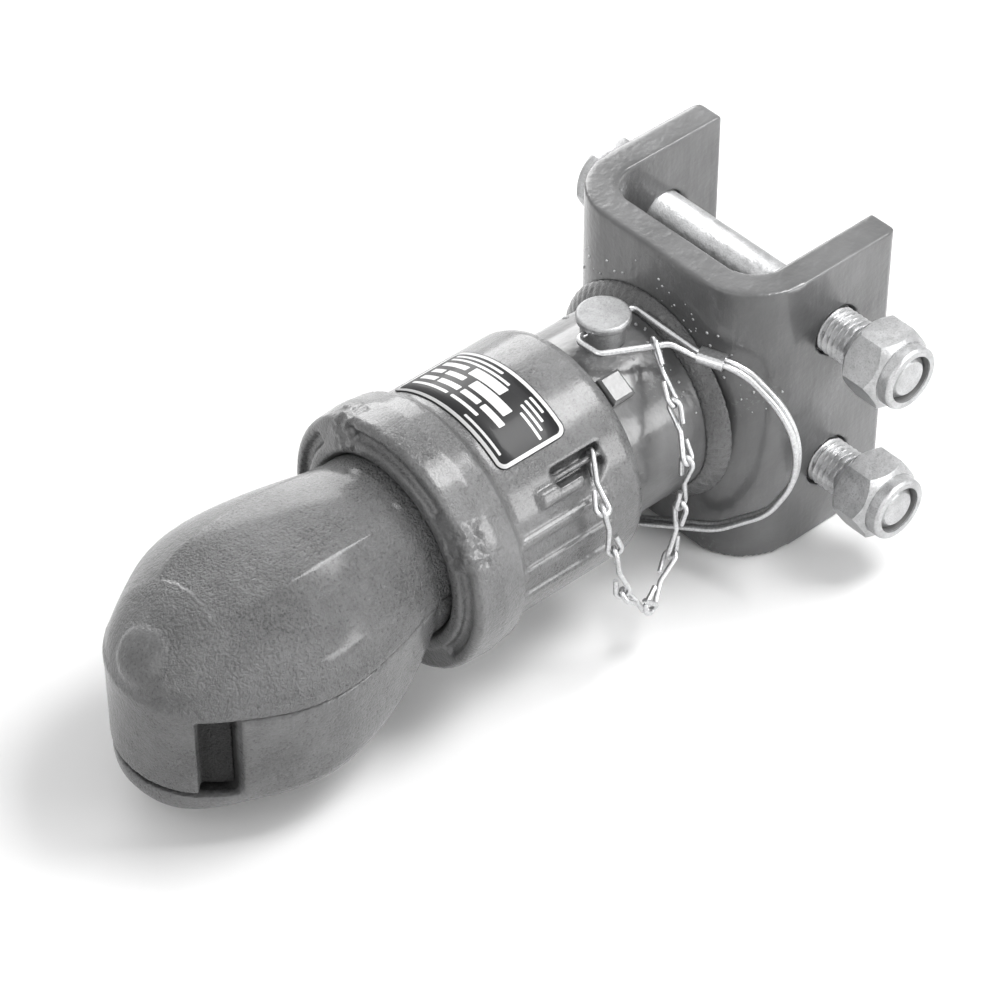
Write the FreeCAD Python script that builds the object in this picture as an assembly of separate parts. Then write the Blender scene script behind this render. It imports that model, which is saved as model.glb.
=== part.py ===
import FreeCAD, Part
import math
import os

from FreeCAD import Matrix, Placement, Rotation, Vector

# Trailer coupler with a sliding lock collar, in millimetres.
# Everything is laid out from the axis of the drawbar tube: +X towards the nose, +Z up,
# X = 0 at the centre of the rounded nose. At the end all pieces are moved together,
# so that the centre of the coupler ball is the origin of the part.

# Coupler ball, a 2 5/16 inch ball
ball_d = 58.74
ball_clearance = 0.45
ball_x = -2.5
ball_z = -5.0

# Head form, as stations of (distance behind the nose, half width, hood height, jaw depth, jaw edge radius)
nose_r = 36.5
head_stations = (
    (0.3, 4.6, 4.5, 42.2, 3.0), (2.5, 13.4, 9.5, 44.6, 5.0), (8.5, 23.4, 16.5, 45.5, 6.0),
    (16.5, 30.5, 23.5, 45.0, 7.0), (26.5, 36.8, 30.0, 44.2, 8.0), (38.5, 43.2, 34.6, 43.2, 8.5),
    (60.5, 47.3, 38.0, 41.2, 9.0), (77.0, 45.3, 38.6, 40.0, 12.0), (93.5, 41.2, 37.6, 38.6, 18.0),
    (105.0, 37.8, 36.0, 36.8, 27.0), (114.0, 35.2, 34.6, 35.2, 34.0),
)
hood_band = 4.0
band_proud = 0.4
split_gap = 0.3
block_half_angle = 43.0
block_top = 3.0
block_bottom = -34.5
lip_gap = 2.4
jaw_draft = 1.0
wall_front_x = 13.0
cup_wall = 2.5
neck_r = 25.0
neck_flare = 5.0
boss_back = 8.7
boss_z = 15.2
boss_tilt = 46.0
boss_size = (10.5, 11.5, 3.6)

# Tail of the head, under the collar
shoulder_step = 2.4
cone_front_x = -80.5
cone_length = 12.0
cone_angle = 17.0
cone_gap = 0.3
tail_step = 6.6
tail_end_x = -140.0
spigot_length = 25.0
hinge_x = -97.0
hinge_z = -6.0
hinge_pin_r = 5.0
hinge_gap = 0.08
knuckle_r = 8.5
knuckle_gap = 0.3
tongue_half_w = 12.0
jaw_tail_x = -93.0
jaw_swing_room = 10.0

# Drawbar tube, 3 inch, and what is on it
tube_r = 38.1
tube_wall = 7.9
fit_gap = 0.05
web_x = -208.4
key_x = -177.0
key_length = 10.0
key_width = 11.0
key_height = 3.2
key_angle = 59.0
bead_size = 7.0

# Channel bracket of half inch plate
plate_t = 12.7
channel_inner_w = 78.0
channel_depth = 73.2
channel_height = 127.0
channel_rise = 3.4
bend_inner_r = 13.0
plate_edge_r = 3.0

# Bolts of three quarter inch, and their lock nuts
bolt_r = 9.5
bolt_hole_r = 10.3
bolt_spacing = 63.5
bolt_x = -253.1
bolt_head_af = 28.6
bolt_head_t = 11.9
bolt_head_stand_off = 10.0
bolt_reach = 36.6
bolt_tip_chamfer = 2.8
nut_stand_off = 16.0
nut_hex_t = 16.5
nut_top_t = 5.0
nut_top_r = 12.6
insert_t = 4.0
thread_gap = 0.05

# Sliding collar
collar_gap = 0.3
lip_x = -78.5
lip_step = 1.1
rim_step = 4.4
bell_rear_x = -101.5
collar_wall = 8.0
collar_rear_x = -164.0
groove_depth = 3.6
groove_inner_step = 4.2
groove_outer_step = 0.2
lug_count = 4
lug_first_angle = 35.0
lug_width_angle = 29.0
rib_angles = (18.0, 3.0, -12.0)
rib_front_x = -104.0
rib_rear_x = -147.0
rib_width = 3.2
rib_height = 1.5
pad_angle = 31.5
pad_front_x = -118.0
pad_rear_x = -142.0
pad_width = 6.0
pad_height = 2.0
anchor_angle = 36.5
anchor_depth = 1.7
anchor_bar_r = 1.25
anchor_front_x = -127.0
anchor_rear_x = -150.0
label_front_x = -109.0
label_rear_x = -141.0
label_half_angle = 39.0
label_t = 0.35
label_lift = 0.1
collar_travel = 16.0

# Collar spring and its seat
spring_wire_r = 2.0
spring_turns = 5.0
spring_steps = 20
spring_sides = 8
seat_t = 2.8

# Lock pin and its wire bail
pin_x = -185.0
pin_r = 7.9
pin_gap = 0.08
pin_tip_z = -46.0
pin_neck_r = 8.6
neck_gap = 0.3
pin_neck_top = 45.8
pin_head_r = 10.3
pin_head_t = 3.4
cross_hole_z = 44.0
wire_r = 1.25
wire_gap = 0.1
wire_pitch = 2.9
bail_turn = 27.0
bail_bend_r = 3.0
bail_loop = ((53.5, 39.0, 25.0), (85.1, 10.0, 39.3), (66.1, -26.7, 25.0), (46.5, -40.8, 25.0))
bail_end = (6.0, -49.4)
bail_near_corner = (26.0, 43.5)
bail_joined = (35.2, 40.6)
sleeve_start = 36.5
sleeve_length = 10.0
sleeve_wall = 1.1
near_wire_y = 11.5
chain_top_share = 0.79

# Jack chain from the collar to the bail, pivot by pivot, chosen by eye from how it hangs
chain_r = 1.0
chain_half_w = 3.1
chain_gap = 0.45
chain_pivots = (
    (-135.6, 53.8, 19.2), (-140.1, 55.5, -2.3), (-143.6, 56.9, -24.1), (-157.8, 56.0, -40.9),
    (-175.6, 48.5, -30.2), (-179.5, 48.4, -8.6), (-180.7, 49.9, 13.3), (-183.5, 38.7, 31.9),
)

AXIS = Vector(1, 0, 0)
UP = Vector(0, 0, 1)
SIDE = Vector(0, 1, 0)
BIG = 400.0

# Sizes that follow from the ones above
socket_r = ball_d / 2 + ball_clearance
ball_centre = Vector(ball_x, 0, ball_z)
half_w_outer = channel_inner_w / 2 + plate_t
tube_bore_r = tube_r - tube_wall
shoulder_r = tube_r - shoulder_step
tail_r = tube_r - tail_step
collar_bore_r = tube_r + collar_gap
barrel_r = collar_bore_r + collar_wall
rim_r = barrel_r + rim_step
lip_bore_r = tube_r - lip_step
groove_inner_r = barrel_r - groove_inner_step
groove_outer_r = barrel_r + groove_outer_step
cone_slope = math.tan(math.radians(cone_angle))
cone_front_r = shoulder_r + cone_gap
cone_rear_x = cone_front_x - cone_length
cone_rear_r = cone_front_r - cone_length * cone_slope
channel_bottom = channel_rise - channel_height / 2
channel_top = channel_rise + channel_height / 2
seat_front_x = tail_end_x + seat_t + 0.2
jaw_depth = max(station[3] for station in head_stations)
head_rear_x = nose_r - head_stations[-1][0]
spring_front_x = cone_rear_x - 2.0
spring_mean_r = (tail_r + collar_bore_r) / 2
anchor_r = barrel_r - anchor_depth


def polar(x, radius, angle):
    a = math.radians(angle)
    return Vector(x, radius * math.cos(a), radius * math.sin(a))


def box(low, high):
    size = Vector(*high) - Vector(*low)
    return Part.makeBox(size.x, size.y, size.z, Vector(*low))


def rod(start, end, radius):
    way = end - start
    return Part.makeCylinder(radius, way.Length, start, way)


def x_rod(radius, front, rear):
    return Part.makeCylinder(radius, front - rear, Vector(rear, 0, 0), AXIS)


def y_rod(radius, x, z, left, right):
    return Part.makeCylinder(radius, right - left, Vector(x, left, z), SIDE)


def revolved(points):
    """Turn an outline of (x, radius) points about the tube axis."""
    wire = Part.makePolygon([Vector(x, r, 0) for x, r in points] + [Vector(points[0][0], points[0][1], 0)])
    return Part.Face(wire).revolve(Vector(0, 0, 0), AXIS, 360)


def sector(angle, width, front, rear, radius):
    """A wedge of a cylinder about the tube axis, used to keep or cut a stretch of a ring."""
    start = math.radians(angle - width / 2)
    end = math.radians(angle + width / 2)
    mid = (start + end) / 2
    rim = [Vector(rear, radius * math.cos(a), radius * math.sin(a)) for a in (start, mid, end)]
    hub = Vector(rear, 0, 0)
    edges = [Part.LineSegment(hub, rim[0]).toShape(), Part.Arc(*rim).toShape(), Part.LineSegment(rim[2], hub).toShape()]
    return Part.Face(Part.Wire(edges)).extrude(Vector(front - rear, 0, 0))


def rounded_path(points, radii):
    """Straight runs joined by tangent arcs, one radius for each inner point."""
    edges = []
    last = points[0]
    for before, corner, after, radius in zip(points, points[1:], points[2:], radii):
        back = (before - corner).normalize()
        ahead = (after - corner).normalize()
        half = math.acos(max(-1.0, min(1.0, back.dot(ahead)))) / 2
        reach = radius / math.tan(half)
        start = corner + back * reach
        end = corner + ahead * reach
        centre = corner + (back + ahead).normalize() * (radius / math.sin(half))
        middle = centre + (corner - centre).normalize() * radius
        edges.append(Part.LineSegment(last, start).toShape())
        edges.append(Part.Arc(start, middle, end).toShape())
        last = end
    edges.append(Part.LineSegment(last, points[-1]).toShape())
    return Part.Wire(edges)


def wire_along(points, radii, radius):
    path = rounded_path(points, radii)
    start = points[0]
    ring = Part.Wire([Part.makeCircle(radius, start, points[1] - start)])
    return path.makePipeShell([ring], True, False)


def hexagon(across_flats, start, thickness):
    corner = across_flats / math.sqrt(3)
    points = [Vector(corner * math.cos(math.radians(60 * k)), 0, corner * math.sin(math.radians(60 * k)))
              for k in range(7)]
    prism = Part.Face(Part.makePolygon(points)).extrude(SIDE * thickness)
    prism.translate(start)
    return prism


def half_section(x, half_w, height, z):
    """Upper half of an ellipse across the head, closed by a flat base."""
    arc = Part.makeCircle(1, Vector(0, 0, 0), AXIS, 0, 180)
    stretch = Matrix()
    stretch.scale(Vector(1, half_w, height))
    arc = arc.transformGeometry(stretch)
    arc.translate(Vector(x, 0, z))
    base = Part.LineSegment(Vector(x, -half_w, z), Vector(x, half_w, z)).toShape()
    return Part.Wire([arc.Edges[0], base])


def jaw_section(x, half_w, depth, edge_r):
    """Section of the lower jaw: near-vertical sides and rounded lower edges."""
    top = -split_gap / 2
    foot = half_w - min(jaw_draft, half_w / 4)
    r = min(edge_r, foot * 0.99)
    k = math.sqrt(0.5)
    points = [Vector(x, -half_w, top), Vector(x, -foot, r - depth), Vector(x, r - foot, -depth),
              Vector(x, foot - r, -depth), Vector(x, foot, r - depth), Vector(x, half_w, top)]
    mids = [Vector(x, k * r - (foot - r) - 2 * k * r, -depth + r - k * r), Vector(x, foot - r + k * r, -depth + r - k * r)]
    edges = [Part.LineSegment(points[0], points[1]).toShape(), Part.Arc(points[1], mids[0], points[2]).toShape(),
             Part.LineSegment(points[2], points[3]).toShape(), Part.Arc(points[3], mids[1], points[4]).toShape(),
             Part.LineSegment(points[4], points[5]).toShape(), Part.LineSegment(points[5], points[0]).toShape()]
    return Part.Wire(edges)


def head_plan():
    """Plan outline of the head's raised band, closed straight across behind."""
    side = [Vector(nose_r - d, w + band_proud, 0) for d, w, h, depth, r in head_stations[1:]]
    other = [Vector(p.x, -p.y, 0) for p in reversed(side)]
    curve = Part.BSplineCurve()
    curve.interpolate(other + [Vector(nose_r + band_proud, 0, 0)] + side)
    return Part.Face(Part.Wire([curve.toShape(), Part.LineSegment(side[-1], other[0]).toShape()]))


def tail_profile(gap):
    """Outline of the round tail under the collar's cone, kept a gap inside it."""
    return [(head_rear_x + 4.0, 0), (head_rear_x + 4.0, cone_front_r - gap),
            (cone_front_x, cone_front_r - gap), (cone_rear_x, cone_rear_r - gap)]


def socket_void():
    """Space of the ball, with the flared way out below it."""
    sphere = Part.makeSphere(socket_r, ball_centre)
    straight = Part.makeCylinder(neck_r, 30, Vector(ball_x, 0, ball_z - 30))
    flare_top = block_bottom + 4.0
    flare = Part.makeCone(neck_r + neck_flare * 2, neck_r, jaw_depth + 10 + flare_top,
                          Vector(ball_x, 0, -jaw_depth - 10))
    return sphere.fuse([straight, flare])


def upper_jaw_casting():
    sections = [half_section(nose_r - d, w, h, split_gap / 2) for d, w, h, depth, r in head_stations]
    hood = Part.makeLoft(sections, True)
    band = head_plan().extrude(UP * (hood_band - split_gap / 2))
    band.translate(UP * (split_gap / 2))
    lobe = Part.makeCylinder(nose_r, block_top - block_bottom, Vector(0, 0, block_bottom))
    half = math.radians(block_half_angle)
    reach = nose_r * 2
    wedge = Part.Face(Part.makePolygon([
        Vector(0, 0, block_bottom), Vector(reach * math.cos(half), -reach * math.sin(half), block_bottom),
        Vector(reach * math.cos(half), reach * math.sin(half), block_bottom), Vector(0, 0, block_bottom),
    ])).extrude(UP * (block_top - block_bottom))
    block = lobe.common(wedge)
    cup = Part.makeCylinder(socket_r + cup_wall, split_gap - block_bottom, Vector(ball_x, 0, block_bottom))
    cup = cup.common(box((wall_front_x + split_gap, -60, -60), (60, 60, 60)))
    tail = revolved(tail_profile(cone_gap) + [
        (cone_rear_x - 0.6, tail_r), (tail_end_x, tail_r), (tail_end_x, tube_bore_r - fit_gap),
        (tail_end_x - spigot_length, tube_bore_r - fit_gap), (tail_end_x - spigot_length, 0),
    ])
    jaw_room = box((jaw_tail_x - jaw_swing_room, -60, -60), (40, 60, split_gap / 2))
    tail = tail.cut(jaw_room)
    ear = y_rod(knuckle_r, hinge_x, hinge_z, -60, 60).common(x_rod(tail_r, 0, tail_end_x))
    cheek = box((hinge_x - knuckle_r, -60, hinge_z), (hinge_x + knuckle_r, 60, 1.0))
    cheek = cheek.common(x_rod(tail_r, 0, tail_end_x))
    boss = Part.makeSphere(1, Vector(0, 0, 0))
    swell = Matrix()
    swell.scale(Vector(*boss_size))
    boss = boss.transformGeometry(swell)
    boss.Placement = Placement(Vector(nose_r - boss_back, 0, boss_z), Rotation(SIDE, boss_tilt))
    casting = hood.fuse([band, block, cup, tail, ear, cheek, boss])
    slot = y_rod(knuckle_r + knuckle_gap, hinge_x, hinge_z, -tongue_half_w - knuckle_gap, tongue_half_w + knuckle_gap)
    under = box((jaw_tail_x - jaw_swing_room, -tongue_half_w - knuckle_gap, -60),
                (-60, tongue_half_w + knuckle_gap, hinge_z))
    ahead = box((hinge_x, -tongue_half_w - knuckle_gap, hinge_z - 1), (-60, tongue_half_w + knuckle_gap, split_gap / 2))
    bore = y_rod(hinge_pin_r + fit_gap, hinge_x, hinge_z, -60, 60)
    return casting.cut(socket_void()).cut(slot).cut([under, ahead]).cut(bore).removeSplitter()


def lower_jaw():
    jaw = Part.makeLoft([jaw_section(nose_r - d, w, depth, r) for d, w, h, depth, r in head_stations], True)
    tail = revolved(tail_profile(cone_gap) + [(jaw_tail_x, cone_rear_r - cone_gap), (jaw_tail_x, 0)])
    tail = tail.common(box((jaw_tail_x, -60, -60), (0, 60, -split_gap / 2)))
    knuckle = y_rod(knuckle_r, hinge_x, hinge_z, -tongue_half_w, tongue_half_w)
    neck = box((hinge_x, -tongue_half_w, hinge_z - knuckle_r), (jaw_tail_x + 1, tongue_half_w, -split_gap / 2))
    jaw = jaw.fuse([tail, knuckle, neck])
    window = box((wall_front_x, -60, block_bottom - lip_gap), (60, 60, 5))
    room_r = knuckle_r + knuckle_gap
    side_room = []
    for s in (tongue_half_w, -tongue_half_w - 60):
        side_room.append(y_rod(room_r, hinge_x, hinge_z, s, s + 60))
        side_room.append(box((hinge_x - room_r, s, hinge_z), (hinge_x + room_r, s + 60, 5)))
    bore = y_rod(hinge_pin_r + hinge_gap, hinge_x, hinge_z, -60, 60)
    return jaw.cut([window, socket_void(), bore] + side_room).removeSplitter()


def jaw_hinge_pin():
    reach = math.sqrt(tail_r ** 2 - (abs(hinge_z) + hinge_pin_r) ** 2) - 0.5
    return y_rod(hinge_pin_r, hinge_x, hinge_z, -reach, reach)


def drawbar_tube():
    tube = x_rod(tube_r, tail_end_x, web_x).cut(x_rod(tube_bore_r, tail_end_x + 1, web_x - 1))
    pin_hole = Part.makeCylinder(pin_r + pin_gap, 200, Vector(pin_x, 0, -100))
    return tube.cut(pin_hole)


def key_block():
    block = box((key_x, -key_width / 2, 0), (key_x + key_length, key_width / 2, tube_r + key_height))
    block = block.makeChamfer(1.0, [e for e in block.Edges if e.BoundBox.ZMin > tube_r])
    block.rotate(Vector(0, 0, 0), AXIS, key_angle - 90)
    return block.cut(x_rod(tube_r, 0, web_x - 10))


def spring_seat():
    ring = x_rod(collar_bore_r - 0.4, tail_end_x + seat_t, tail_end_x)
    return ring.cut(x_rod(tail_r + fit_gap, 0, web_x))


def tube_weld_bead():
    return revolved([(web_x, tube_r), (web_x, tube_r + bead_size), (web_x + bead_size * 0.45, tube_r + bead_size * 0.55),
                     (web_x + bead_size * 1.1, tube_r)])


def channel_outline(half_w, front, rear, bend):
    """Plan outline of a channel, open to the rear, with rounded front corners."""
    k = bend * (1 - math.sqrt(0.5))
    left = [Vector(rear, -half_w, channel_bottom), Vector(front - bend, -half_w, channel_bottom),
            Vector(front - k, -half_w + k, channel_bottom), Vector(front, -half_w + bend, channel_bottom)]
    right = [Vector(p.x, -p.y, p.z) for p in left]
    edges = [Part.LineSegment(left[0], left[1]).toShape(), Part.Arc(left[1], left[2], left[3]).toShape(),
             Part.LineSegment(left[3], right[3]).toShape(), Part.Arc(right[3], right[2], right[1]).toShape(),
             Part.LineSegment(right[1], right[0]).toShape(), Part.LineSegment(right[0], left[0]).toShape()]
    return Part.Face(Part.Wire(edges)).extrude(UP * channel_height)


def bolt_places():
    return [Vector(bolt_x, 0, channel_rise + s * bolt_spacing / 2) for s in (1, -1)]


def channel_bracket():
    rear = web_x - channel_depth
    outer = channel_outline(half_w_outer, web_x, rear, bend_inner_r + plate_t)
    inner = channel_outline(channel_inner_w / 2, web_x - plate_t, rear - 10, bend_inner_r)
    bracket = outer.cut(inner)
    rear_outer = [e for e in bracket.Edges if abs(e.BoundBox.XMin - rear) < 0.01 and abs(e.BoundBox.XMax - rear) < 0.01
                  and e.BoundBox.ZLength > 1 and min(abs(e.BoundBox.YMin), abs(e.BoundBox.YMax)) > half_w_outer - 1]
    bracket = bracket.makeFillet(plate_edge_r, rear_outer)
    holes = [y_rod(bolt_hole_r, p.x, p.z, -100, 100) for p in bolt_places()]
    return bracket.cut(holes)


def hex_bolt(place):
    """Loose bolt across the channel: head on the far side, thread standing out on the near side."""
    start = -half_w_outer - bolt_head_stand_off - bolt_head_t
    head = hexagon(bolt_head_af, Vector(place.x, start, place.z), bolt_head_t)
    crown = Part.makeCone(bolt_head_af * 0.46, bolt_head_af * 0.46 + 40, 40, Vector(place.x, start, place.z), SIDE)
    shank = y_rod(bolt_r, place.x, place.z, start + 1, half_w_outer + bolt_reach)
    tip = [e for e in shank.Edges if e.BoundBox.YMin > half_w_outer + bolt_reach - 1]
    return head.common(crown).fuse(shank.makeChamfer(bolt_tip_chamfer, tip))


def nut_start():
    return half_w_outer + nut_stand_off


def lock_nut(place):
    y = nut_start()
    body = hexagon(bolt_head_af, Vector(place.x, y, place.z), nut_hex_t)
    crown = Part.makeCone(bolt_head_af * 0.46 + 40, bolt_head_af * 0.46, 40,
                          Vector(place.x, y + nut_hex_t - 40, place.z), SIDE)
    foot = Part.makeCone(bolt_head_af * 0.47, bolt_head_af * 0.47 + 40, 40, Vector(place.x, y, place.z), SIDE)
    top = y_rod(nut_top_r, place.x, place.z, y + nut_hex_t - 1, y + nut_hex_t + nut_top_t)
    rim = [e for e in top.Edges if e.BoundBox.YMin > y + nut_hex_t + nut_top_t - 0.1]
    body = body.common(crown).common(foot).fuse(top.makeFillet(1.2, rim))
    bore = y_rod(bolt_r + thread_gap, place.x, place.z, y - 1, y + 40)
    seat = y_rod(nut_top_r - 1.1, place.x, place.z, y + nut_hex_t + nut_top_t - insert_t - 0.8, y + nut_hex_t + nut_top_t - 0.8)
    return body.cut(bore).cut(seat)


def nylon_insert(place):
    y = nut_start() + nut_hex_t + nut_top_t - 0.8
    ring = y_rod(nut_top_r - 1.1, place.x, place.z, y - insert_t, y)
    return ring.cut(y_rod(bolt_r + thread_gap, place.x, place.z, y - insert_t - 1, y + 1))


def anchor_point():
    """Where the chain's first link hangs on the collar's bar."""
    return polar(anchor_rear_x + 4.0, anchor_r, anchor_angle)


def sliding_collar():
    rear_step = barrel_r - 2.6
    profile = [
        (lip_x - 0.6, lip_bore_r), (lip_x, lip_bore_r + 0.9), (lip_x, groove_inner_r - 1.6),
        (lip_x - 1.0, groove_inner_r), (lip_x - 1.4, groove_outer_r), (lip_x - 1.6, rim_r - 1.6),
        (lip_x - 3.2, rim_r), (lip_x - 14.0, rim_r + 0.7), (bell_rear_x, rim_r - 0.4), (bell_rear_x - 3.0, barrel_r + 0.7),
        (bell_rear_x - 5.0, barrel_r), (collar_rear_x + 4.0, barrel_r), (collar_rear_x + 1.0, barrel_r - 1.2),
        (collar_rear_x, rear_step), (collar_rear_x, collar_bore_r), (cone_rear_x - 1.4, collar_bore_r),
        (cone_rear_x - 1.4, cone_rear_r), (cone_rear_x, cone_rear_r), (cone_front_x, cone_front_r),
        (cone_front_x, lip_bore_r),
    ]
    collar = revolved(profile)
    groove = revolved([(lip_x + 5, groove_inner_r), (lip_x + 5, groove_outer_r), (lip_x - groove_depth, groove_outer_r),
                       (lip_x - groove_depth, groove_inner_r)])
    step = 360.0 / lug_count
    for k in range(lug_count):
        groove = groove.cut(sector(lug_first_angle + step * k, lug_width_angle, lip_x + 10, lip_x - 20, 70))
    ribs = []
    for angle in rib_angles:
        for a in (angle, 180 - angle):
            rib = box((rib_rear_x, barrel_r - 2, -rib_width / 2), (rib_front_x, barrel_r + rib_height, rib_width / 2))
            rib.rotate(Vector(0, 0, 0), AXIS, a)
            ribs.append(rib)
    pad = box((pad_rear_x, barrel_r - 2, -pad_width / 2), (pad_front_x, barrel_r + pad_height, pad_width / 2))
    pad = pad.makeFillet(1.2, [e for e in pad.Edges if e.BoundBox.YMin > barrel_r])
    pad.rotate(Vector(0, 0, 0), AXIS, pad_angle)
    pocket = rod(polar(anchor_rear_x, anchor_r, anchor_angle), polar(anchor_front_x, anchor_r, anchor_angle),
                 chain_half_w + chain_r + 0.5)
    bar = rod(polar(anchor_rear_x - 1, anchor_r, anchor_angle), polar(anchor_front_x + 1, anchor_r, anchor_angle),
              anchor_bar_r)
    way_out = rod(anchor_point(), anchor_point() + (Vector(*chain_pivots[0]) - anchor_point()) * 0.9,
                  chain_half_w + chain_r + 0.5)
    keyway = box((collar_rear_x - 1, -key_width / 2 - collar_gap, 0),
                 (key_x + key_length + collar_travel + 1.0, key_width / 2 + collar_gap, tube_r + key_height + collar_gap))
    keyway.rotate(Vector(0, 0, 0), AXIS, key_angle - 90)
    return collar.cut(groove).fuse(ribs + [pad]).cut([pocket, way_out, keyway]).fuse(bar).removeSplitter()


def capacity_label():
    inner_r = barrel_r + label_lift
    shell = x_rod(inner_r + label_t, label_front_x, label_rear_x).cut(x_rod(inner_r, 0, collar_rear_x))
    return shell.common(sector(90, 2 * label_half_angle, label_front_x, label_rear_x, 70))


def collar_spring():
    """Coil of flat-sided turns, closed at both ends."""
    length = spring_front_x - seat_front_x - 2 * spring_wire_r
    steps = int(spring_turns * spring_steps)
    rings = []
    for k in range(steps + 1):
        a = 2 * math.pi * k / spring_steps
        out = Vector(0, math.cos(a), math.sin(a))
        centre = Vector(seat_front_x + spring_wire_r + length * k / steps, 0, 0) + out * spring_mean_r
        turns = [2 * math.pi * j / spring_sides for j in range(spring_sides)]
        rings.append([centre + out * (spring_wire_r * math.cos(t)) + AXIS * (spring_wire_r * math.sin(t)) for t in turns])
    faces = [Part.Face(Part.makePolygon(ring + ring[:1])) for ring in (rings[0], rings[-1])]
    for near, far in zip(rings, rings[1:]):
        for j in range(spring_sides):
            i = (j + 1) % spring_sides
            faces.append(Part.Face(Part.makePolygon([near[j], near[i], far[i], near[j]])))
            faces.append(Part.Face(Part.makePolygon([near[j], far[i], far[j], near[j]])))
    shell = Part.makeCompound(faces)
    shell.sewShape()
    coil = Part.makeSolid(shell.Shells[0])
    if coil.Volume < 0:
        coil.reverse()
    return coil


def lock_pin():
    shank = Part.makeCylinder(pin_r, tube_r + 2 - pin_tip_z, Vector(pin_x, 0, pin_tip_z))
    shank = shank.makeChamfer(1.5, [e for e in shank.Edges if e.BoundBox.ZMax < pin_tip_z + 1])
    neck = Part.makeCylinder(pin_neck_r, pin_neck_top - tube_r - neck_gap, Vector(pin_x, 0, tube_r + neck_gap))
    head = Part.makeCylinder(pin_head_r, pin_head_t, Vector(pin_x, 0, pin_neck_top))
    head = head.makeFillet(1.2, [e for e in head.Edges if e.BoundBox.ZLength < 0.01])
    hole = rod(Vector(pin_x - 30, 0, cross_hole_z), Vector(pin_x + 30, 0, cross_hole_z), wire_r + wire_gap)
    return shank.fuse([neck, head]).cut(hole)


def bail_point(reach, z, side):
    """Point of the bail's plane: reach out from the pin, height, and offset across the plane."""
    a = math.radians(bail_turn)
    out = Vector(-math.sin(a), math.cos(a), 0)
    across = Vector(math.cos(a), math.sin(a), 0)
    return Vector(pin_x, 0, z) + out * reach + across * (side * wire_pitch / 2)


def near_arm():
    """Points of the bail's arm on the nose side, from the pin's hole to the bend before the sleeve."""
    arm = pin_neck_r + 5.0
    return [Vector(pin_x + pin_neck_r - 3, 0, cross_hole_z), Vector(pin_x + arm, 0, cross_hole_z),
            Vector(pin_x + arm - 0.6, near_wire_y, cross_hole_z), bail_point(*bail_near_corner, 1)]


def wire_bail():
    """One wire through the pin's neck: two arms that meet in the sleeve, and the double loop below them."""
    near = near_arm()
    far = [Vector(pin_x - pin_neck_r + 3, 0, cross_hole_z), Vector(pin_x - pin_neck_r - 5.9, 0, cross_hole_z)]
    out = [bail_point(*bail_joined, 1)] + [bail_point(u, z, 1) for u, z, r in bail_loop]
    back = [bail_point(u, z, -1) for u, z, r in reversed(bail_loop)] + [bail_point(*bail_joined, -1)]
    turn = [bail_point(*bail_end, 1), bail_point(*bail_end, -1)]
    points = near + out + turn + back + list(reversed(far))
    loop_radii = [r for u, z, r in bail_loop]
    joined_r = 6.0
    radii = [bail_bend_r, bail_bend_r, joined_r, joined_r] + loop_radii + [1.4, 1.4] + loop_radii[::-1]
    return wire_along(points, radii + [joined_r, bail_bend_r], wire_r)


def bail_sleeve():
    half_w = wire_pitch / 2 + wire_r + sleeve_wall
    half_h = wire_r + sleeve_wall
    body = box((-half_w, 0, -half_h), (half_w, sleeve_length, half_h))
    body = body.makeFillet(half_h * 0.95, [e for e in body.Edges if e.BoundBox.YLength > 1])
    for s in (1, -1):
        body = body.cut(Part.makeCylinder(wire_r + fit_gap, sleeve_length + 2, Vector(s * wire_pitch / 2, -1, 0), SIDE))
    slope = (bail_loop[0][1] - bail_joined[1]) / (bail_loop[0][0] - bail_joined[0])
    body.rotate(Vector(0, 0, 0), AXIS, math.degrees(math.atan(slope)))
    body.rotate(Vector(0, 0, 0), UP, bail_turn)
    body.translate(bail_point(sleeve_start, bail_joined[1] + slope * (sleeve_start - bail_joined[0]), 0))
    return body


def chain_link(start, end, reach_start, reach_end, side, other):
    """One link of bent wire: a loop at each end, the first lying along side and the second along other."""
    along = (end - start).normalize()
    waist = (start + end) / 2
    front = start - along * reach_start
    rear = end + along * reach_end
    w = chain_half_w
    points = [waist - along * 3.2 + side * 1.8, front + side * w, front - side * w, waist,
              rear + other * w, rear - other * w, waist + along * 3.2 - other * 1.8]
    radii = [w * 0.92, w * 0.92, 3.0, w * 0.92, w * 0.92]
    return wire_along(points, radii, chain_r)


def chain_links():
    """Links from the collar's bar to the bail's arm, each looped squarely through the one before."""
    arm = near_arm()
    pivots = [anchor_point()] + [Vector(*p) for p in chain_pivots] + [arm[2] + (arm[3] - arm[2]) * chain_top_share]
    ways = [(b - a).normalize() for a, b in zip(pivots, pivots[1:])]
    hooks = [anchor_bar_r + chain_r + chain_gap]
    hooks += [(2 * chain_r + chain_gap) / (1 + before.dot(after)) for before, after in zip(ways, ways[1:])]
    hooks.append(wire_r + chain_r + chain_gap)
    held = AXIS
    links = {}
    for k, way in enumerate(ways):
        side = way.cross(held).normalize()
        held = arm[3] - arm[2] if k == len(ways) - 1 else side
        other = way.cross(held).normalize()
        held = other
        links["chain_link_%02d" % (k + 1)] = chain_link(pivots[k], pivots[k + 1], hooks[k], hooks[k + 1], side, other)
    return links


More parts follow.
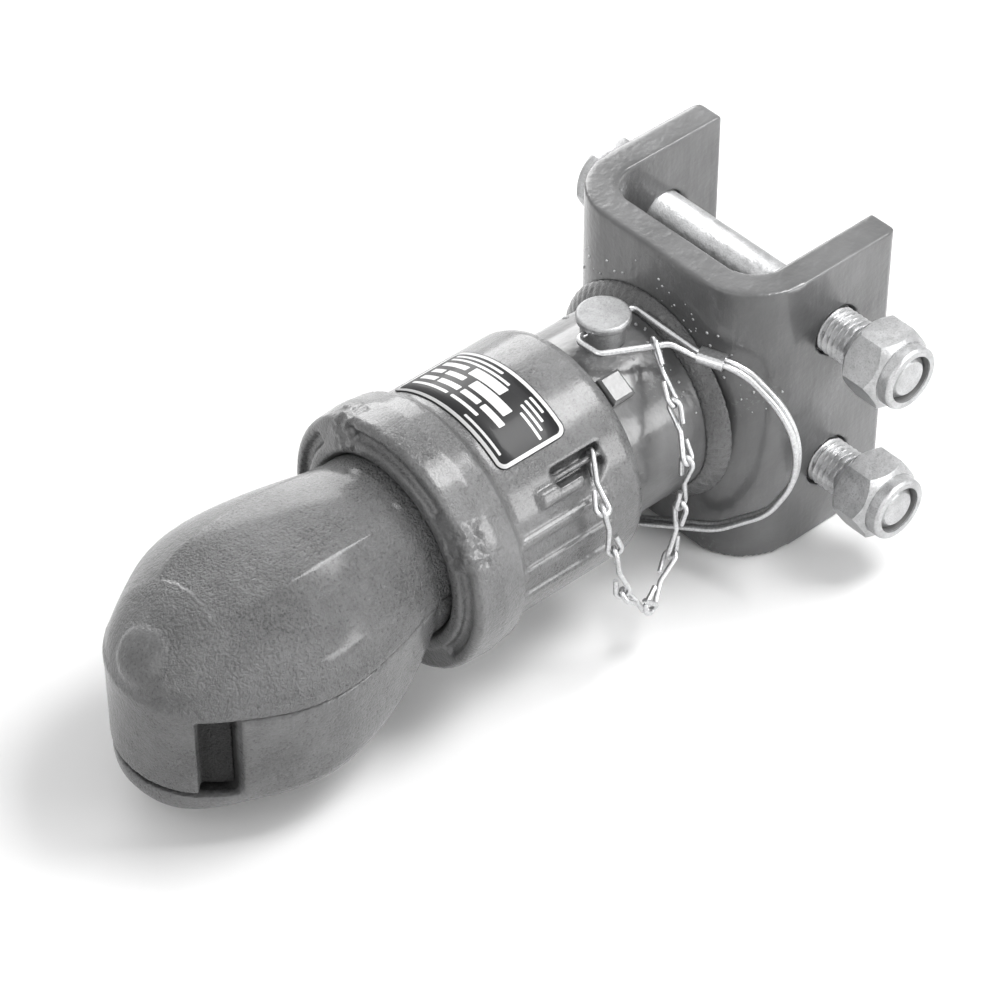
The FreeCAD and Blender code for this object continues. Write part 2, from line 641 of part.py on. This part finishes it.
def nodes():
    upper, lower = bolt_places()
    found = {
        "upper_jaw_casting": upper_jaw_casting(),
        "lower_jaw": lower_jaw(),
        "jaw_hinge_pin": jaw_hinge_pin(),
        "drawbar_tube": drawbar_tube(),
        "key_block": key_block(),
        "spring_seat": spring_seat(),
        "tube_weld_bead": tube_weld_bead(),
        "channel_bracket": channel_bracket(),
        "upper_bolt": hex_bolt(upper),
        "lower_bolt": hex_bolt(lower),
        "upper_lock_nut": lock_nut(upper),
        "lower_lock_nut": lock_nut(lower),
        "upper_nylon_insert": nylon_insert(upper),
        "lower_nylon_insert": nylon_insert(lower),
        "sliding_collar": sliding_collar(),
        "capacity_label": capacity_label(),
        "collar_spring": collar_spring(),
        "lock_pin": lock_pin(),
        "wire_bail": wire_bail(),
        "bail_sleeve": bail_sleeve(),
    }
    found.update(chain_links())
    return found


os.makedirs("parts", exist_ok=True)
for name, shape in nodes().items():
    shape.translate(ball_centre * -1)
    shape.exportStep("parts/%s.step" % name)
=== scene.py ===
import math
import random

import bmesh
import bpy
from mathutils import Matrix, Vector
from mathutils.noise import turbulence_vector


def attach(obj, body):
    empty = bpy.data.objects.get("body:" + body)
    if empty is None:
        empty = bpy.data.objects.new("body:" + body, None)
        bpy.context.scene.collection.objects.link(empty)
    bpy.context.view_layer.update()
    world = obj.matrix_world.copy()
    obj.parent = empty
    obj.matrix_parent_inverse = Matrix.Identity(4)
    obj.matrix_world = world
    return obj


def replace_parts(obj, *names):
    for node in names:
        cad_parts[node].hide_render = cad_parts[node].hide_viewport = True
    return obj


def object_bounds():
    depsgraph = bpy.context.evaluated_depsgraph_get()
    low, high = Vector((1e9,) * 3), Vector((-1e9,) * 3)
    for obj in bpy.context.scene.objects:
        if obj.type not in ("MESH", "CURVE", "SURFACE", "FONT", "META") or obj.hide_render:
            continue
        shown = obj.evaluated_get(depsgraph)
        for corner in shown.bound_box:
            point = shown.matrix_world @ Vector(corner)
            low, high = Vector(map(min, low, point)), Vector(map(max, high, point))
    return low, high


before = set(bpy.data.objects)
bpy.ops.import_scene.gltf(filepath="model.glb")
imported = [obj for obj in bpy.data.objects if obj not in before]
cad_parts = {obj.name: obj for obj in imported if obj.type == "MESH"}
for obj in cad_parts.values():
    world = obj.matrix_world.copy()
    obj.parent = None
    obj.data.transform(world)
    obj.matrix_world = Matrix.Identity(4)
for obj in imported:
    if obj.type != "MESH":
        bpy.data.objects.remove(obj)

cad_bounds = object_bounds()

# The coupler in metres, with the centre of its ball at the origin.
AXIS_Z = 0.005
BARREL_R = 0.0464
BOLT_X = -0.2506
BOLT_Z = (0.04015, -0.02335)
BOLT_R = 0.0095
THREAD_PITCH = 0.00254
THREAD_DEPTH = 0.0014
THREAD_START_Y = 0.0495
FLANGE_Y = 0.0517
BOLT_END_Y = FLANGE_Y + 0.0366
TIP_CHAMFER = 0.0028
WEB_X = -0.2059
TUBE_R = 0.0381
BEAD_SIZE = 0.0068
BEND_R = 0.0257
BEND_FLAT_Y = 0.026
BOSS = (0.0303, 0.0202)
RIDGES = (math.radians(31), math.radians(70))


class Value:
    """A socket of a finish; arithmetic on it adds Math nodes."""

    def __init__(self, finish, socket):
        self.finish = finish
        self.socket = socket

    def __add__(self, other):
        return self.finish.math("ADD", self, other)

    __radd__ = __add__

    def __sub__(self, other):
        return self.finish.math("SUBTRACT", self, other)

    def __rsub__(self, other):
        return self.finish.math("SUBTRACT", other, self)

    def __mul__(self, other):
        return self.finish.math("MULTIPLY", self, other)

    __rmul__ = __mul__

    def __truediv__(self, other):
        return self.finish.math("DIVIDE", self, other)

    def __gt__(self, other):
        return self.finish.math("GREATER_THAN", self, other)

    def __lt__(self, other):
        return self.finish.math("LESS_THAN", self, other)

    def __abs__(self):
        return self.finish.math("ABSOLUTE", self)


class Finish:
    """A material under construction, with one method for every node."""

    def __init__(self, name, metallic=0.0, coat=0.0, coat_roughness=0.1, specular=0.5):
        self.material = bpy.data.materials.new(name)
        self.material.use_nodes = True
        self.tree = self.material.node_tree
        self.tree.nodes.clear()
        self.shader = self.tree.nodes.new("ShaderNodeBsdfPrincipled")
        self.shader.inputs["Metallic"].default_value = metallic
        self.shader.inputs["Coat Weight"].default_value = coat
        self.shader.inputs["Coat Roughness"].default_value = coat_roughness
        self.shader.inputs["Specular IOR Level"].default_value = specular
        output = self.tree.nodes.new("ShaderNodeOutputMaterial")
        self.tree.links.new(self.shader.outputs[0], output.inputs[0])
        self.place = self.node("ShaderNodeTexCoord", output="Object")

    def plug(self, socket, value):
        if isinstance(value, Value):
            self.tree.links.new(value.socket, socket)
        else:
            socket.default_value = value

    def node(self, kind, settings=None, values=None, output=0):
        made = self.tree.nodes.new(kind)
        for key, setting in (settings or {}).items():
            if key == "stops":
                while len(made.color_ramp.elements) < len(setting):
                    made.color_ramp.elements.new(0.5)
                for element, (position, level) in zip(made.color_ramp.elements, setting):
                    element.position = position
                    element.color = (level, level, level, 1)
            else:
                setattr(made, key, setting)
        for key, value in (values or {}).items():
            self.plug(made.inputs[key], value)
        return Value(self, made.outputs[output])

    def math(self, operation, *values):
        return self.node("ShaderNodeMath", {"operation": operation}, dict(enumerate(values)))

    def noise(self, size, detail=2.0, rough=0.5, vector=None):
        """Cloudy noise with lumps of about the given size in metres."""
        values = {"Vector": vector or self.place, "Scale": 1 / size, "Detail": detail, "Roughness": rough}
        return self.node("ShaderNodeTexNoise", None, values, "Fac")

    def ramp(self, value, *stops):
        return self.node("ShaderNodeValToRGB", {"stops": stops}, {"Fac": value})

    def mix(self, factor, first, second):
        """Two colours mixed by a factor."""
        return self.node("ShaderNodeMix", {"data_type": "RGBA"}, {0: factor, 6: first, 7: second}, 2)

    def stretched(self, scale):
        return self.node("ShaderNodeMapping", None, {"Vector": self.place, "Scale": scale})

    def parts(self):
        """The three coordinates of the place."""
        split = self.tree.nodes.new("ShaderNodeSeparateXYZ")
        self.plug(split.inputs[0], self.place)
        return [Value(self, socket) for socket in split.outputs]

    def bump(self, height, distance, strength=1.0, under=None):
        values = {"Height": height, "Distance": distance, "Strength": strength}
        if under:
            values["Normal"] = under
        return self.node("ShaderNodeBump", None, values)

    def done(self, color, roughness, normal=None):
        self.plug(self.shader.inputs["Base Color"], color)
        self.plug(self.shader.inputs["Roughness"], roughness)
        if normal:
            self.plug(self.shader.inputs["Normal"], normal)
        return self.material


def grey(level):
    return (level, level * 1.005, level * 1.015, 1)


def cast_paint(name, level, grain, shaded_recess=False):
    """Glossy grey paint on sand-cast iron: sparkling grain, soft lumps, and painted shade, a near-black patch, in
    the recess round the ball.
    """
    finish = Finish(name, coat=0.6, coat_roughness=0.16)
    sand = finish.noise(0.0011, 2.0, 0.65)
    skin = finish.noise(0.0045, 3.0, 0.6)
    lumps = finish.noise(0.014, 2.0)
    clouds = finish.noise(0.03, 3.0)
    pits = finish.ramp(finish.noise(0.0035, 1.0), (0.28, 0.0), (0.38, 1.0))
    x, y, z = finish.parts()
    from_boss = finish.math("SQRT", (x - BOSS[0]) * (x - BOSS[0]) + y * y + (z - BOSS[1]) * (z - BOSS[1]))
    off_boss = finish.ramp(from_boss * 50, (0.42, 0.15), (0.60, 1.0))
    relief = finish.bump(sand * off_boss, 0.0010 * grain, 1.0)
    relief = finish.bump(skin, 0.0009 * grain, 0.6, relief)
    relief = finish.bump(lumps, 0.0022, 0.6, relief)
    relief = finish.bump(pits, 0.0003, 0.6, relief)
    tone = finish.ramp(clouds + (sand - 0.5) * 0.6 + (skin - 0.5) * 0.4, (0.32, 0.0), (0.70, 1.0))
    color = finish.mix(tone, grey(level * 0.68), grey(level * 1.26))
    gloss = 0.24 + clouds * 0.16 + (sand - 0.5) * 0.3
    if shaded_recess:
        # Painted shade: inside the cup wall round the ball and below the axis, the paint turns near black, with less
        # coat and a rougher gloss, in place of the shade that falls in the notch.
        from_ball = finish.math("SQRT", x * x + y * y) + (skin - 0.5) * 0.002
        painted_shade = finish.ramp(from_ball * 10, (0.332, 1.0), (0.352, 0.0)) * (z < 0.0055)
        color = finish.mix(painted_shade, color, (0.008, 0.008, 0.008, 1))
        gloss = gloss + painted_shade * 0.3
        finish.plug(finish.shader.inputs["Coat Weight"], (1 - painted_shade) * 0.6)
    return finish.done(color, gloss, relief)


def plate_paint(name, level):
    """Grey paint on rolled steel, with faint runs and scuffs."""
    finish = Finish(name, coat=0.6, coat_roughness=0.14)
    skin = finish.noise(0.0022, 2.0)
    clouds = finish.noise(0.035, 3.0)
    runs = finish.noise(0.006, 2.0, vector=finish.stretched((1.0, 1.0, 0.15)))
    relief = finish.bump(skin, 0.0004, 0.5)
    relief = finish.bump(runs, 0.0009, 0.5, relief)
    scuffs = finish.ramp(finish.noise(0.0016, 4.0, 0.7) * finish.noise(0.02, 2.0), (0.37, 0.0), (0.41, 1.0))
    tone = finish.ramp(clouds, (0.36, 0.0), (0.66, 1.0))
    color = finish.mix(tone, grey(level * 0.70), grey(level * 1.22))
    color = finish.mix(scuffs * 0.35, color, grey(level * 2.2))
    return finish.done(color, 0.26 + clouds * 0.16 + scuffs * 0.2, relief)


def zinc_plate(name, level, dull):
    """Zinc plating: pale metal with dark speckle, cloudy patches and handling marks."""
    finish = Finish(name, metallic=0.9)
    patches = finish.noise(0.009, 3.0, 0.6)
    mottle = finish.noise(0.0032, 4.0, 0.65)
    speckle = finish.noise(0.0007, 3.0, 0.7)
    tone = finish.ramp(mottle * 0.5 + patches * 0.5, (0.36, 0.0), (0.62, 1.0))
    color = finish.mix(tone, grey(level * 0.72), grey(level))
    dark = finish.ramp(speckle, (0.36, 1.0), (0.50, 0.0))
    color = finish.mix(dark * 0.45, color, grey(level * 0.42))
    relief = finish.bump(mottle, 0.0007, 0.35)
    relief = finish.bump(speckle, 0.00016, 0.5, relief)
    return finish.done(color, dull + mottle * 0.2 + (speckle - 0.5) * 0.2, relief)


def drawn_wire(name):
    finish = Finish(name, metallic=1.0)
    streaks = finish.noise(0.0009, 3.0, 0.6)
    color = finish.mix(finish.ramp(streaks, (0.3, 0.0), (0.7, 1.0)), grey(0.50), grey(0.74))
    return finish.done(color, 0.24 + streaks * 0.16, finish.bump(streaks, 0.00008, 0.4))


def oiled_steel(name):
    finish = Finish(name, metallic=1.0)
    film = finish.noise(0.006, 3.0)
    color = finish.mix(film, (0.10, 0.095, 0.09, 1), (0.26, 0.25, 0.24, 1))
    return finish.done(color, 0.34 + film * 0.2, finish.bump(film, 0.0003, 0.3))


def nylon(name):
    finish = Finish(name)
    cloud = finish.noise(0.004, 2.0)
    color = finish.mix(cloud, (0.17, 0.17, 0.17, 1), (0.26, 0.26, 0.26, 1))
    return finish.done(color, 0.42 + cloud * 0.12, finish.bump(cloud, 0.0002, 0.3))


def label_film(name):
    """Dark film with a light rounded border, blank boxes and plain bars, laid round the collar."""
    finish = Finish(name, coat=0.1, specular=0.3)
    x, y, z = finish.parts()
    along = finish.math("ARCTAN2", y, z - AXIS_Z) * BARREL_R
    down = (LABEL_FRONT + LABEL_REAR) / 2 - x

    def box(centre_a, centre_d, half_a, half_d, corner=0.0):
        """1 inside a rounded box on the label, 0 outside it."""
        a = finish.math("MAXIMUM", abs(along - centre_a) - (half_a - corner), 0.0)
        d = finish.math("MAXIMUM", abs(down - centre_d) - (half_d - corner), 0.0)
        return finish.math("SQRT", a * a + d * d) < corner + 0.00001

    half_a = LABEL_HALF_ARC
    half_d = (LABEL_FRONT - LABEL_REAR) / 2
    print_mask = box(0, 0, half_a - 0.0004, half_d - 0.0004, 0.0036)
    print_mask = print_mask - box(0, 0, half_a - 0.0019, half_d - 0.0019, 0.0024)
    for centre_a, centre_d, width, height in LABEL_BARS:
        print_mask = print_mask + box(centre_a, centre_d, width / 2, height / 2, 0.0004)
    print_mask = finish.math("MINIMUM", print_mask, 1.0)
    wear = finish.noise(0.0007, 3.0, 0.6)
    color = finish.mix(print_mask * (0.86 + wear * 0.14), (0.012, 0.012, 0.013, 1), (0.80, 0.80, 0.80, 1))
    return finish.done(color, 0.40 + wear * 0.12, finish.bump(wear, 0.00005, 0.3))


LABEL_FRONT = -0.1065
LABEL_REAR = -0.1385
LABEL_HALF_ARC = math.radians(39) * BARREL_R
LABEL_BARS = (
    (-0.0140, 0.0122, 0.0260, 0.0012), (-0.0110, 0.0098, 0.0320, 0.0012),
    (-0.0200, 0.0060, 0.0140, 0.0026), (-0.0020, 0.0060, 0.0170, 0.0044),
    (-0.0235, 0.0008, 0.0070, 0.0026), (-0.0135, 0.0008, 0.0100, 0.0026), (0.0050, 0.0008, 0.0190, 0.0044),
    (-0.0225, -0.0044, 0.0090, 0.0026), (-0.0110, -0.0044, 0.0110, 0.0026), (0.0005, -0.0044, 0.0090, 0.0026),
    (0.0120, -0.0044, 0.0110, 0.0028), (-0.0170, -0.0088, 0.0200, 0.0014), (0.0020, -0.0088, 0.0140, 0.0014),
    (0.0160, -0.0122, 0.0200, 0.0011), (0.0170, 0.0122, 0.0075, 0.0011), (0.0185, 0.0098, 0.0100, 0.0011),
    (0.0200, 0.0074, 0.0120, 0.0011), (0.0225, 0.0050, 0.0120, 0.0011),
)

head_paint = cast_paint("head_cast_paint", 0.120, 1.6, True)
jaw_paint = cast_paint("jaw_cast_paint", 0.120, 0.55, True)
collar_paint = cast_paint("collar_cast_paint", 0.125, 0.5)
tube_paint = plate_paint("tube_paint", 0.115)
bracket_paint = plate_paint("bracket_paint", 0.115)
bolt_zinc = zinc_plate("bolt_zinc", 0.58, 0.30)
pin_zinc = zinc_plate("pin_zinc", 0.44, 0.40)
wire_zinc = drawn_wire("wire_zinc")
spring_steel = oiled_steel("spring_steel")
insert_nylon = nylon("insert_nylon")
weld_paint = cast_paint("weld_paint", 0.110, 0.5)
spatter_steel = zinc_plate("spatter_steel", 0.60, 0.25)
film = label_film("label_film")

FINISHES = {
    "upper_jaw_casting": head_paint, "lower_jaw": jaw_paint, "sliding_collar": collar_paint,
    "drawbar_tube": tube_paint, "key_block": tube_paint, "tube_weld_bead": bracket_paint,
    "channel_bracket": bracket_paint, "upper_bolt": bolt_zinc, "lower_bolt": bolt_zinc,
    "upper_lock_nut": bolt_zinc, "lower_lock_nut": bolt_zinc, "upper_nylon_insert": insert_nylon,
    "lower_nylon_insert": insert_nylon, "capacity_label": film, "lock_pin": pin_zinc,
    "jaw_hinge_pin": spring_steel, "spring_seat": spring_steel, "collar_spring": spring_steel,
}
for name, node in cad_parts.items():
    node.data.materials.clear()
    node.data.materials.append(FINISHES.get(name, wire_zinc))


def piece(name, mesh, finish, body):
    """A finished mesh as a piece of the coupler that rides on one body."""
    bmesh.ops.recalc_face_normals(mesh, faces=mesh.faces)
    data = bpy.data.meshes.new(name)
    mesh.to_mesh(data)
    mesh.free()
    data.materials.append(finish)
    data.shade_smooth()
    made = bpy.data.objects.new(name, data)
    bpy.context.scene.collection.objects.link(made)
    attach(made, body)
    return made


def cast_copy(name, node, voxel, passes, finish, body, shape):
    """A cast or cut piece as the foundry leaves it: the solid with every edge rounded."""
    mesh = bmesh.new()
    mesh.from_mesh(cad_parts[node].data)
    bmesh.ops.remove_doubles(mesh, verts=mesh.verts, dist=0.000002)
    made = piece(name, mesh, finish, body)
    grain = made.modifiers.new("even_skin", "REMESH")
    grain.mode = "VOXEL"
    grain.voxel_size = voxel
    soft = made.modifiers.new("rounded_edges", "SMOOTH")
    soft.factor = 0.5
    soft.iterations = passes
    seen = made.evaluated_get(bpy.context.evaluated_depsgraph_get())
    data = bpy.data.meshes.new_from_object(seen)
    data.name = name
    data.materials.clear()
    data.materials.append(finish)
    data.shade_smooth()
    made.modifiers.clear()
    made.data = data
    for vert in data.vertices:
        vert.co = shape(vert.co)
    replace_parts(made, node)


def as_cast(place):
    return place


def ramp_between(value, start, end):
    """0 up to start, 1 from end on, and smooth in between."""
    share = min(1.0, max(0.0, (value - start) / (end - start)))
    return share * share * (3 - 2 * share)


def ridged_hood(place):
    """The hood's flat top and two flatter sides, with soft ridges between them."""
    height = place.z - AXIS_Z
    turn = math.atan2(abs(place.y), height)
    radius = math.hypot(place.y, height)
    if turn > RIDGES[1] or radius < 0.032:
        return place
    middle, half, share = (0.0, RIDGES[0], 0.36)
    if turn > RIDGES[0]:
        middle, half, share = ((RIDGES[0] + RIDGES[1]) / 2, (RIDGES[1] - RIDGES[0]) / 2, 0.6)
    share *= ramp_between(place.x, -0.076, -0.058) * (1 - ramp_between(place.x, 0.004, 0.024))
    scale = 1 - share * (1 - math.cos(half) / math.cos(turn - middle))
    return Vector((place.x, place.y * scale, AXIS_Z + height * scale))


def rough_gates(place):
    """The collar's two lugs, left rough where the gates were broken off."""
    turn = math.degrees(math.atan2(place.y, place.z - AXIS_Z))
    near = max(1 - abs(turn - 59) / 13, 1 - abs(turn + 27) / 11, 0.0)
    front = ramp_between(place.x, -0.0885, -0.0835)
    radius = math.hypot(place.y, place.z - AXIS_Z)
    if near * front == 0 or radius < 0.0385:
        return place
    push = min(1.0, near * 2) * front
    swell = 0.0011 * turbulence_vector(place * 260, 3, False)
    return place + push * swell


def grid(mesh, rows, cols, point, closed_rows=False, closed_cols=True):
    """Faces over rows and columns of points; returns the vertices row by row."""
    verts = [[mesh.verts.new(point(i, j)) for j in range(cols)] for i in range(rows)]
    for i in range(rows if closed_rows else rows - 1):
        near, far = verts[i], verts[(i + 1) % rows]
        for j in range(cols if closed_cols else cols - 1):
            k = (j + 1) % cols
            mesh.faces.new((near[j], near[k], far[k], far[j]))
    return verts


def threaded_bolt(name, node, z):
    """The loose bolt: plain shank and head of the solid, and a cut thread with a chamfered tip."""
    mesh = bmesh.new()
    mesh.from_mesh(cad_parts[node].data)
    bmesh.ops.remove_doubles(mesh, verts=mesh.verts, dist=0.000002)
    everything = list(mesh.verts) + list(mesh.edges) + list(mesh.faces)
    cut = bmesh.ops.bisect_plane(mesh, geom=everything, plane_co=(0, THREAD_START_Y, 0), plane_no=(0, 1, 0), clear_outer=True)
    rim = [e for e in cut["geom_cut"] if isinstance(e, bmesh.types.BMEdge)]
    bmesh.ops.edgeloop_fill(mesh, edges=rim)
    around = 48
    step = THREAD_PITCH / 8
    count = round((BOLT_END_Y - THREAD_START_Y) / step)

    def point(i, j):
        y = min(THREAD_START_Y + step * i, BOLT_END_Y)
        phase = (y / THREAD_PITCH - j / around) % 1
        groove = min(1.0, max(0.0, (1 - abs(2 * phase - 1) - 0.08) / 0.84))
        run_in = min(1.0, i / 8)
        radius = BOLT_R - 0.00003 - THREAD_DEPTH * groove * run_in
        radius = min(radius, BOLT_R - max(0.0, y - BOLT_END_Y + TIP_CHAMFER))
        turn = 2 * math.pi * j / around
        return (BOLT_X + radius * math.cos(turn), y, z + radius * math.sin(turn))

    verts = grid(mesh, count + 1, around, point)
    mesh.faces.new(verts[0])
    mesh.faces.new(verts[-1])
    made = piece(name, mesh, bolt_zinc, "frame")
    made.data.set_sharp_from_angle(angle=math.radians(32))
    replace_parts(made, node)


def rippled_bead():
    """Weld bead round the tube, laid in overlapping ripples."""
    mesh = bmesh.new()
    around = 360
    across = 9

    def point(i, j):
        turn = 2 * math.pi * i / around
        if j == across:
            reach, out = 0.0, 0.0
        else:
            share = j / (across - 1)
            slope = math.pi / 2 * share
            ripple = abs(math.sin(29 * turn + 1.1 * math.sin(3 * turn) + 1.6 * share * (1 - share)))
            size = BEAD_SIZE * (0.92 + 0.045 * ripple + 0.03 * math.sin(5 * turn + 1))
            reach = size * math.cos(slope) ** 1.35
            out = size * math.sin(slope) ** 1.35
        radius = TUBE_R + out
        return (WEB_X + reach, radius * math.cos(turn), AXIS_Z + radius * math.sin(turn))

    grid(mesh, around, across + 1, point, closed_rows=True)
    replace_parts(piece("tube_weld_bead_rippled", mesh, weld_paint, "frame"), "tube_weld_bead")


def weld_spatter():
    """Beads of spatter on the plate round the weld and on the top of the tube."""
    chance = random.Random(7)
    mesh = bmesh.new()
    for k in range(64):
        size = chance.uniform(0.00025, 0.00075) * (1.5 if k % 9 == 0 else 1.0)
        turn = math.radians(chance.uniform(15, 148))
        drop = bmesh.ops.create_icosphere(mesh, subdivisions=2, radius=size)["verts"]
        if k % 3:
            radius = TUBE_R + BEAD_SIZE + chance.uniform(0.0005, 0.012)
            bmesh.ops.scale(mesh, vec=(0.7, 1, 1), verts=drop)
            round_the_bend = min(BEND_R * 0.95, max(0.0, radius * abs(math.cos(turn)) - BEND_FLAT_Y))
            set_back = BEND_R - math.sqrt(BEND_R ** 2 - round_the_bend ** 2)
            place = (WEB_X - set_back, radius * math.cos(turn), AXIS_Z + radius * math.sin(turn))
        else:
            place = (WEB_X + chance.uniform(0.008, 0.022), TUBE_R * math.cos(turn), AXIS_Z + TUBE_R * math.sin(turn))
        bmesh.ops.translate(mesh, vec=place, verts=drop)
    piece("weld_spatter", mesh, spatter_steel, "frame")


def rounded_label():
    """The label's film on the barrel, with rounded corners."""
    mesh = bmesh.new()
    half_d = (LABEL_FRONT - LABEL_REAR) / 2
    middle = (LABEL_FRONT + LABEL_REAR) / 2
    corner = 0.0040
    around = 96

    def point(i, j):
        along = LABEL_HALF_ARC * (2 * i / (around - 1) - 1)
        past = max(0.0, abs(along) - (LABEL_HALF_ARC - corner))
        reach = half_d - corner + math.sqrt(max(0.0, corner ** 2 - past ** 2))
        share = (-1, -0.5, 0, 0.5, 1, 1, 0.5, 0, -0.5, -1)[j]
        radius = BARREL_R + (0.00038 if j < 5 else 0.00006)
        turn = along / BARREL_R
        return (middle + share * reach, radius * math.sin(turn), AXIS_Z + radius * math.cos(turn))

    verts = grid(mesh, around, 10, point)
    mesh.faces.new(verts[0])
    mesh.faces.new(verts[-1])
    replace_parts(piece("capacity_label_film", mesh, film, "collar"), "capacity_label")


cast_copy("hood_casting", "upper_jaw_casting", 0.0010, 3, head_paint, "frame", ridged_hood)
cast_copy("lower_jaw_casting", "lower_jaw", 0.0010, 3, jaw_paint, "lower_jaw", as_cast)
cast_copy("collar_casting", "sliding_collar", 0.0009, 2, collar_paint, "collar", rough_gates)
cast_copy("bracket_plate", "channel_bracket", 0.0011, 2, bracket_paint, "frame", as_cast)
for side, height in zip(("upper", "lower"), BOLT_Z):
    threaded_bolt(side + "_bolt_threaded", side + "_bolt", height)
rippled_bead()
weld_spatter()
rounded_label()


def floor_and_light():
    ground = bmesh.new()
    bmesh.ops.create_grid(ground, x_segments=2, y_segments=2, size=4.0)
    bmesh.ops.translate(ground, verts=ground.verts, vec=(0, 0, cad_bounds[0][2] - 0.0005))
    data = bpy.data.meshes.new("floor")
    ground.to_mesh(data)
    ground.free()
    floor = bpy.data.objects.new("floor", data)
    bpy.context.scene.collection.objects.link(floor)
    finish = Finish("floor_pale", specular=0.2)
    cloud = finish.noise(0.8, 2.0)
    shade = finish.mix(cloud, (0.86, 0.86, 0.86, 1), (0.88, 0.88, 0.88, 1))
    x, y, z = finish.parts()
    path = finish.tree.nodes.new("ShaderNodeLightPath")
    seen = Value(finish, path.outputs["Is Camera Ray"])
    away = finish.math("SQRT", x * x + y * y)
    glow = finish.ramp(away / 2, (0.22, 0.0), (0.50, 1.0)) * seen
    finish.plug(finish.shader.inputs["Emission Color"], glow)
    finish.shader.inputs["Emission Strength"].default_value = 1.0
    data.materials.append(finish.done(shade, 0.8))

    for name, place, aim, size, power in (
        ("key", (-0.73, 0.34, 1.16), (-0.12, 0, 0), 0.55, 14.0),
        ("left", (-0.67, -1.05, 0.50), (-0.12, 0, 0), 0.7, 8.0),
        ("right", (-0.62, 1.10, 0.36), (-0.10, 0, 0), 0.5, 7.0),
        ("front", (0.9, 0.3, 0.8), (-0.10, 0, 0), 1.0, 4.0),
    ):
        lamp = bpy.data.lights.new(name, "AREA")
        lamp.size = size
        lamp.energy = power
        made = bpy.data.objects.new(name, lamp)
        made.location = place
        made.rotation_euler = (Vector(aim) - Vector(place)).to_track_quat("-Z", "Y").to_euler()
        bpy.context.scene.collection.objects.link(made)

    world = bpy.data.worlds.new("studio")
    world.use_nodes = True
    nodes = world.node_tree.nodes
    back = nodes["Background"]
    back.inputs["Color"].default_value = (1, 1, 1, 1)
    links = world.node_tree.links
    place = nodes.new("ShaderNodeTexCoord")
    split = nodes.new("ShaderNodeSeparateXYZ")
    links.new(place.outputs["Generated"], split.inputs[0])
    sky = nodes.new("ShaderNodeMapRange")
    for key, value in (("From Min", 0.0), ("From Max", 0.9), ("To Min", 0.10), ("To Max", 0.62)):
        sky.inputs[key].default_value = value
    links.new(split.outputs[2], sky.inputs["Value"])
    path = nodes.new("ShaderNodeLightPath")
    level = sky.outputs[0]
    for ray in ("Is Camera Ray", "Is Glossy Ray", "Is Transmission Ray"):
        lift = nodes.new("ShaderNodeMath")
        lift.operation = "MAXIMUM"
        links.new(path.outputs[ray], lift.inputs[0])
        links.new(level, lift.inputs[1])
        level = lift.outputs[0]
    links.new(level, back.inputs["Strength"])
    bpy.context.scene.world = world


def photo_camera():
    azimuth = math.radians(138.18)
    rise = math.radians(42.37)
    back = Vector((math.sin(azimuth) * math.cos(rise), -math.cos(azimuth) * math.cos(rise), math.sin(rise)))
    target = Vector((-0.12124, 0.01243, 0.0084))
    lens = bpy.data.cameras.new("photo_camera")
    lens.lens = 143.74
    lens.sensor_width = 36.0
    camera = bpy.data.objects.new("photo_camera", lens)
    camera.location = target + back * 1.43215
    camera.rotation_euler = back.to_track_quat("Z", "Y").to_euler()
    bpy.context.scene.collection.objects.link(camera)
    bpy.context.scene.camera = camera
    bpy.context.scene.view_settings.view_transform = "Standard"


floor_and_light()
photo_camera()
